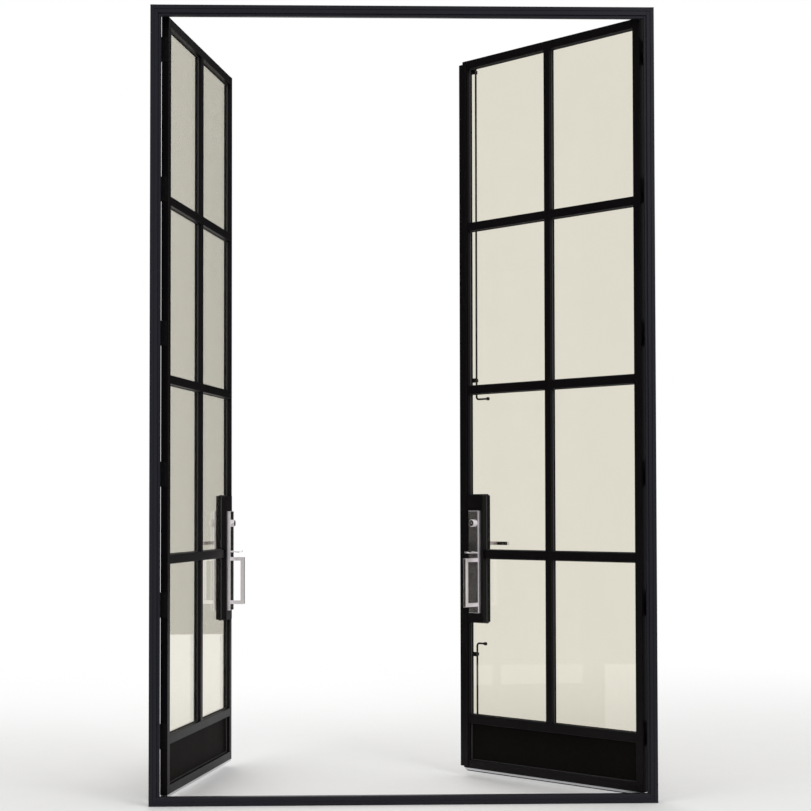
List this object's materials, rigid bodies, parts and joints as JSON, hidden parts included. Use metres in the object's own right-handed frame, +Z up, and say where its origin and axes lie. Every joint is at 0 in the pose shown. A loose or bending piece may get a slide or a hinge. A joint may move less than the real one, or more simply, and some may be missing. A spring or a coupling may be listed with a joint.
{
  "type": "french doors",
  "caption": "Tall inswing pair of black steel French doors in a slim frame, with glazed grids, kick panels, lock boxes, D pulls, levers and surface bolts.",
  "frame": {"origin": "centre of the threshold's underside, half way through the frame's depth", "axes": "+X to the right seen from the exterior, +Y into the room (the way the leaves open), +Z up"},
  "size_m": [1.905, 1.0041, 3.01],
  "materials": {
    "frame_paint": "satin",
    "leaf_paint": "satin",
    "panel_paint": "matte",
    "hinge_steel": "satin",
    "nickel": "polished",
    "sweep_metal": "satin",
    "seal_rubber": "matte",
    "clear_glass": "clear"
  },
  "bodies": {
    "frame": {"frame_head": "frame_paint", "frame_jamb_left": "frame_paint", "frame_jamb_right": "frame_paint", "threshold": "frame_paint", "frame_seals": "seal_rubber", "bolt_keepers": "hinge_steel", "hinge_frame_leaves": "hinge_steel", "hinge_pins": "hinge_steel"},
    "left_leaf": {"left_hinge_leaves": "hinge_steel", "left_hinge_stile": "leaf_paint", "left_lock_stile": "leaf_paint", "left_top_rail": "leaf_paint", "left_mid_rail": "leaf_paint", "left_bottom_rail": "leaf_paint", "left_mullion": "leaf_paint", "left_muntins": "leaf_paint", "left_panes_hinge_column": "clear_glass", "left_panes_lock_column": "clear_glass", "left_kick_panel": "panel_paint", "left_glazing_beads": "leaf_paint", "left_sweep_carrier": "sweep_metal", "left_sweep_blade": "seal_rubber", "left_lock_box": "leaf_paint", "left_exterior_plate": "nickel", "left_interior_plate": "nickel", "left_pull": "nickel", "left_cylinder": "nickel", "left_faceplate": "nickel"},
    "right_leaf": {"right_hinge_leaves": "hinge_steel", "right_hinge_stile": "leaf_paint", "right_lock_stile": "leaf_paint", "right_top_rail": "leaf_paint", "right_mid_rail": "leaf_paint", "right_bottom_rail": "leaf_paint", "right_mullion": "leaf_paint", "right_muntins": "leaf_paint", "right_panes_hinge_column": "clear_glass", "right_panes_lock_column": "clear_glass", "right_kick_panel": "panel_paint", "right_glazing_beads": "leaf_paint", "right_sweep_carrier": "sweep_metal", "right_sweep_blade": "seal_rubber", "right_lock_box": "leaf_paint", "right_exterior_plate": "nickel", "right_interior_plate": "nickel", "right_pull": "nickel", "right_cylinder": "nickel", "right_strike_plate": "nickel", "right_thumb_piece": "nickel", "right_lever": "nickel", "right_astragal": "leaf_paint", "right_bolt_guides": "hinge_steel"},
    "left_lever": {"left_lever": "nickel"},
    "left_latch_bolt": {"left_latch_bolt": "nickel"},
    "left_thumb_piece": {"left_thumb_piece": "nickel"},
    "left_thumbturn": {"left_thumbturn": "nickel"},
    "left_deadbolt": {"left_deadbolt": "nickel"},
    "left_key_plug": {"left_key_plug": "nickel"},
    "right_top_bolt": {"right_top_bolt": "hinge_steel"},
    "right_bottom_bolt": {"right_bottom_bolt": "hinge_steel"}
  },
  "joints": [
    {"name": "left_leaf_hinge", "type": "hinge", "parent": "frame", "child": "left_leaf", "pos_m": [-0.9332, 0.043, 0], "axis": [0, 0, 1], "range_deg": [-81, 29]},
    {"name": "right_leaf_hinge", "type": "hinge", "parent": "frame", "child": "right_leaf", "pos_m": [0.9332, 0.043, 0], "axis": [0, 0, -1], "range_deg": [-45, 65]},
    {"name": "left_lever_turn", "type": "hinge", "parent": "left_leaf", "child": "left_lever", "pos_m": [-0.80937, 0.88874, 0.962], "axis": [0.9877, -0.1564, 0], "range_deg": [0, 45], "stiffness_Nm_per_rad": 0.6, "springref_deg": -34.38},
    {"name": "left_latch_slide", "type": "slide", "parent": "left_leaf", "child": "left_latch_bolt", "axis": [-0.1564, -0.9877, 0], "range_m": [0, 0.012]},
    {"name": "left_thumb_press", "type": "hinge", "parent": "left_leaf", "child": "left_thumb_piece", "pos_m": [-0.74221, 0.8781, 0.925], "axis": [0.1564, 0.9877, 0], "range_deg": [0, 12], "stiffness_Nm_per_rad": 0.5, "springref_deg": -17.19},
    {"name": "left_thumbturn_turn", "type": "hinge", "parent": "left_leaf", "child": "left_thumbturn", "pos_m": [-0.80937, 0.88874, 1.046], "axis": [-0.9877, 0.1564, 0], "range_deg": [0, 90]},
    {"name": "left_deadbolt_slide", "type": "slide", "parent": "left_leaf", "child": "left_deadbolt", "axis": [0.1564, 0.9877, 0], "range_m": [0, 0.02]},
    {"name": "left_key_turn", "type": "hinge", "parent": "left_leaf", "child": "left_key_plug", "pos_m": [-0.73826, 0.87748, 1.046], "axis": [-0.9877, 0.1564, 0], "range_deg": [0, 90]},
    {"name": "right_top_bolt_slide", "type": "slide", "parent": "right_leaf", "child": "right_top_bolt", "axis": [0, 0, 1], "range_m": [0, 0.025]},
    {"name": "right_bottom_bolt_slide", "type": "slide", "parent": "right_leaf", "child": "right_bottom_bolt", "axis": [0, 0, -1], "range_m": [0, 0.025]}
  ],
  "couplings": [
    {"joint": "left_latch_slide", "follows": "left_lever_turn", "m_per_rad": 0.015279},
    {"joint": "left_thumbturn_turn", "follows": "left_deadbolt_slide", "rad_per_m": 78.54},
    {"joint": "left_key_turn", "follows": "left_deadbolt_slide", "rad_per_m": 78.54}
  ]
}
